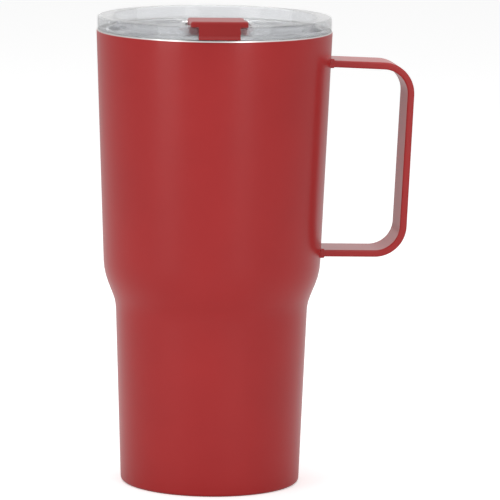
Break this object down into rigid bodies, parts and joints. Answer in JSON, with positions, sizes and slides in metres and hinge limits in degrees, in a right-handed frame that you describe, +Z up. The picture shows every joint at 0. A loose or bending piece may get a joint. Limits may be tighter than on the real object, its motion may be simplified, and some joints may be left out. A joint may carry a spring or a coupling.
{
  "type": "insulated travel mug",
  "caption": "Tapered vacuum-insulated steel travel mug with a flat-strip handle, a clear push-on lid and a red flip tab.",
  "frame": {"origin": "centre of the foot ring, on the plane that the mug stands on", "axes": "+Z up along the mug's axis, +X towards the handle; the flip tab points along -Y, turned 4.6 degrees about Z towards -X"},
  "size_m": [0.1276, 0.0973, 0.1918],
  "materials": {
    "coat": "gloss powder coat",
    "steel": "brushed",
    "pin_steel": "polished",
    "copper": "bright foil",
    "solder_glass": "fused, opaque",
    "foam": "matt foam",
    "getter": "sintered",
    "clear": "clear, polished",
    "tab_red": "satin moulded",
    "silicone": "translucent matt"
  },
  "bodies": {
    "mug": {"outer_shell": "coat", "outer_base": "steel", "port_seal": "solder_glass", "base_cover": "steel", "cover_tape": "foam", "inner_liner": "steel", "liner_base": "steel", "upper_foil": "copper", "lower_foil": "copper", "getter_holder": "steel", "getter_pellet": "getter", "handle_band": "coat", "upper_weld": "coat", "lower_weld": "coat"},
    "lid": {"lid_body": "clear", "lid_gasket": "silicone", "hinge_pin": "pin_steel"},
    "flip_tab_set": {"flip_tab": "tab_red", "spout_seal": "silicone", "vent_seal": "silicone"}
  },
  "joints": [
    {"name": "lid_lift", "type": "slide", "parent": "mug", "child": "lid", "axis": [0, 0, 1], "range_m": [0, 0.06]},
    {"name": "tab_flip", "type": "hinge", "parent": "lid", "child": "flip_tab_set", "pos_m": [-0.00096, -0.01196, 0.1876], "axis": [-0.9968, 0.0802, 0], "range_deg": [0, 175]}
  ]
}
